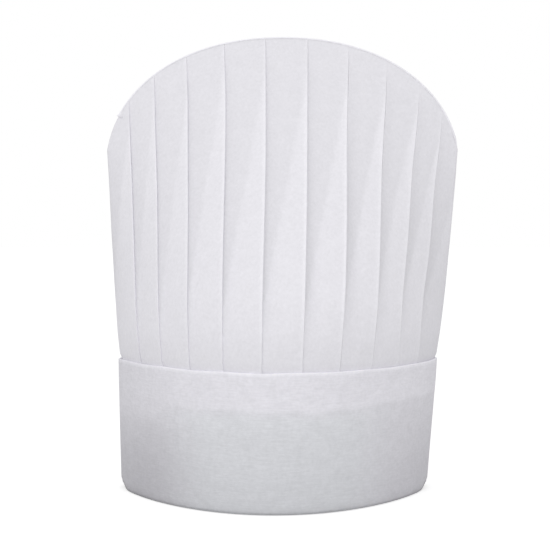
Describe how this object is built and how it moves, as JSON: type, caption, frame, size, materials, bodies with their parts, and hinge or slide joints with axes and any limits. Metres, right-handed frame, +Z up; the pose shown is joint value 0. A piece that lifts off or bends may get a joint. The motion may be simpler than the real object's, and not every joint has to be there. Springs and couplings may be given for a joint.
{
  "type": "chef toque",
  "caption": "Tall pleated disposable chef's toque of white non-woven cloth: a knife-pleated crown closed along an arch, on a plain turned-in head band",
  "frame": {"origin": "on the resting plane, under the middle of the hat's bounding box", "axes": "+Z up through the crown, +X the wearer's left, so to the right of a viewer facing the hat; the front faces -Y"},
  "size_m": [0.2268, 0.1763, 0.29],
  "materials": {
    "crown_cloth": "matt white non-woven viscose, thin, mottled and slightly translucent",
    "band_cloth": "matt white non-woven viscose, heavier, fibres brushed sideways",
    "fused_seam": "white non-woven, heat-fused flat"
  },
  "bodies": {
    "root": {"crown_pleated_web": "crown_cloth", "crown_top_arch_seam": "fused_seam", "crown_side_seam": "fused_seam", "head_band": "band_cloth", "head_band_back_lap": "band_cloth"}
  },
  "joints": []
}
